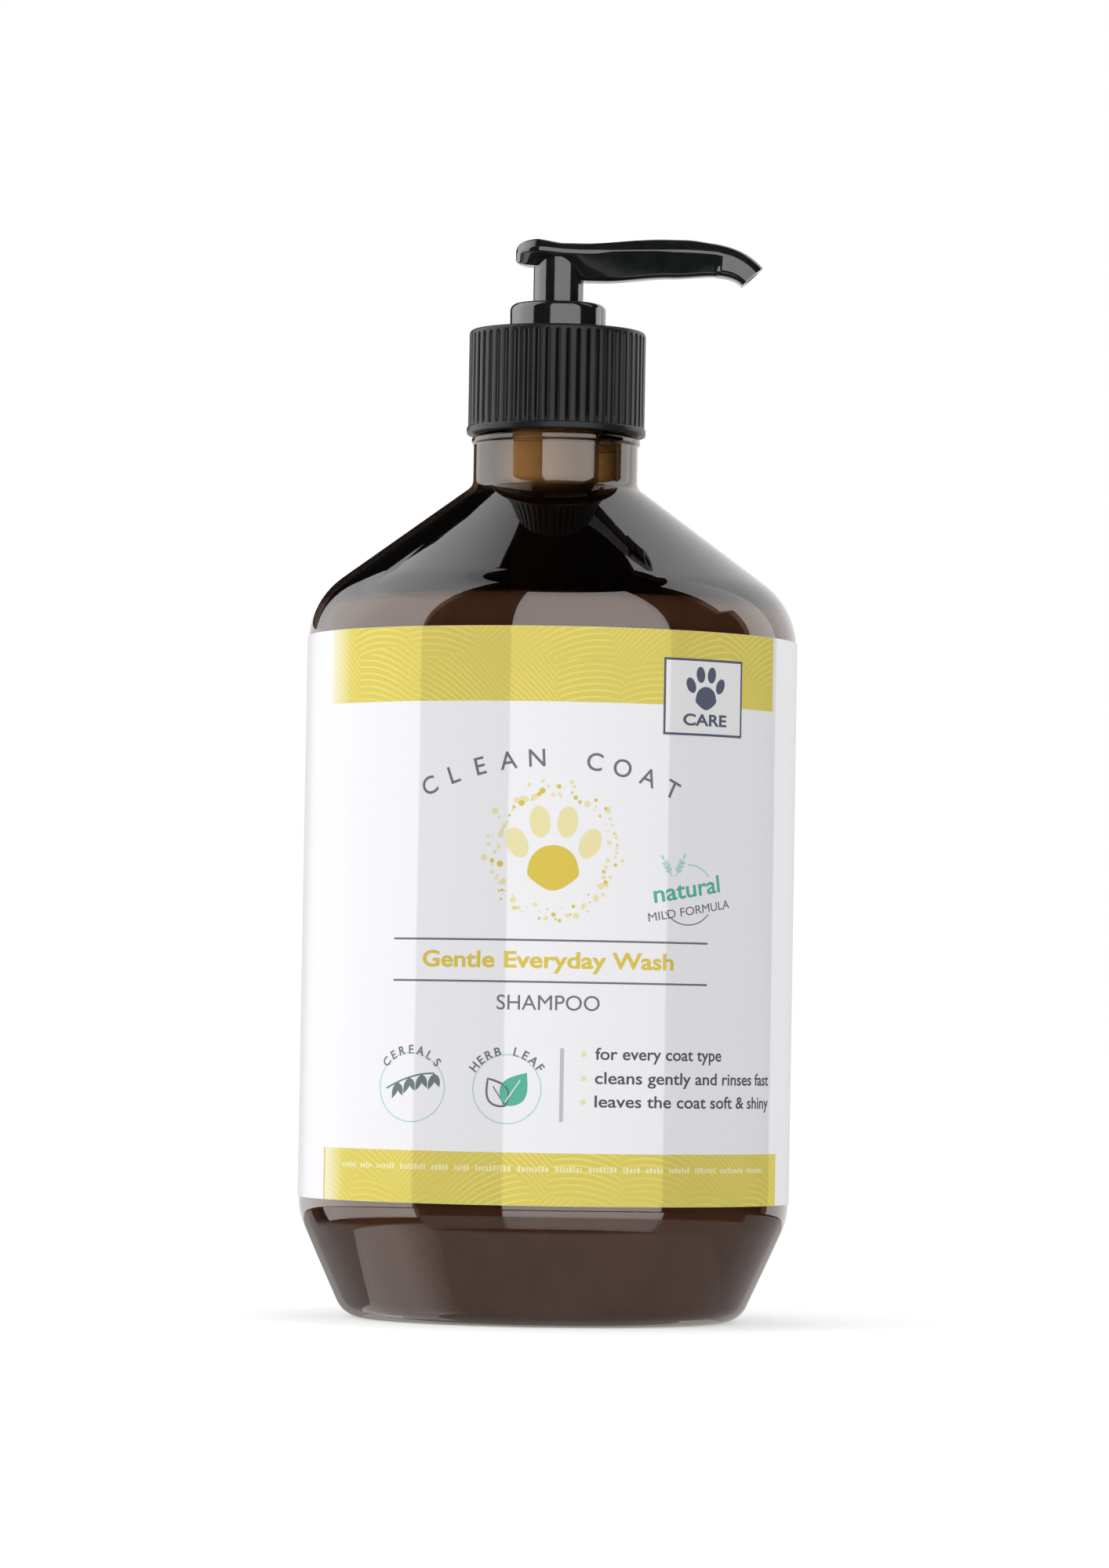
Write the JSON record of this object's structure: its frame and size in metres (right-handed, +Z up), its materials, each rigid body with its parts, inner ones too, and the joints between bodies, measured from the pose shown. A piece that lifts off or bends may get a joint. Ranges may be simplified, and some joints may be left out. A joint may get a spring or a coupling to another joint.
{
  "type": "shampoo bottle with lotion pump",
  "caption": "Amber bottle with tapered base, cone shoulder and white wrap label, closed by a ribbed black cap with a lock-down lotion pump.",
  "frame": {"origin": "centre of the base's ring on the resting plane", "axes": "+Z up along the bottle, +X along the spout at rest, -Y the middle of the label's front"},
  "size_m": [0.078, 0.078, 0.1725],
  "materials": {
    "amber_pet": "clear amber, glossy",
    "label_film": "glossy film",
    "shampoo": "pearly liquid",
    "black_polypropylene": "satin",
    "black_gloss": "glossy",
    "gasket_foam": "soft matte",
    "natural_polypropylene": "milky, translucent",
    "steel": "drawn wire",
    "piston_ldpe": "waxy"
  },
  "bodies": {
    "bottle": {"bottle": "amber_pet", "wrap_label": "label_film", "shampoo": "shampoo"},
    "pump_core": {"pump_housing": "natural_polypropylene", "lock_collar": "black_gloss", "neck_gasket": "gasket_foam", "dip_tube": "natural_polypropylene", "ball_retainer": "natural_polypropylene"},
    "closure": {"closure_cap": "black_polypropylene"},
    "return_spring": {"main_spring": "steel"},
    "head": {"actuator_head": "black_gloss", "stem": "natural_polypropylene", "piston_seat": "natural_polypropylene"},
    "piston": {"piston": "piston_ldpe"},
    "inlet_ball": {"inlet_ball": "steel"}
  },
  "joints": [
    {"name": "pump_lift", "type": "slide", "parent": "bottle", "child": "pump_core", "axis": [0, 0, 1], "range_m": [0, 0.00476]},
    {"name": "closure_turn", "type": "hinge", "parent": "pump_core", "child": "closure", "pos_m": [0, 0, 0.148], "axis": [0, 0, 1], "range_deg": [0, 540]},
    {"name": "pump_stroke", "type": "slide", "parent": "pump_core", "child": "return_spring", "axis": [0, 0, 1], "range_m": [0, 0.015], "deforming": ["main_spring"]},
    {"name": "head_swivel", "type": "hinge", "parent": "return_spring", "child": "head", "pos_m": [0, 0, 0.15], "axis": [0, 0, 1], "continuous": true},
    {"name": "piston_valve", "type": "slide", "parent": "return_spring", "child": "piston", "axis": [0, 0, 1], "range_m": [0, 0.0012]},
    {"name": "inlet_ball_lift", "type": "slide", "parent": "pump_core", "child": "inlet_ball", "axis": [0, 0, 1], "range_m": [0, 0.0014]}
  ],
  "couplings": [
    {"joint": "closure_turn", "follows": "pump_lift", "rad_per_m": 1979}
  ]
}
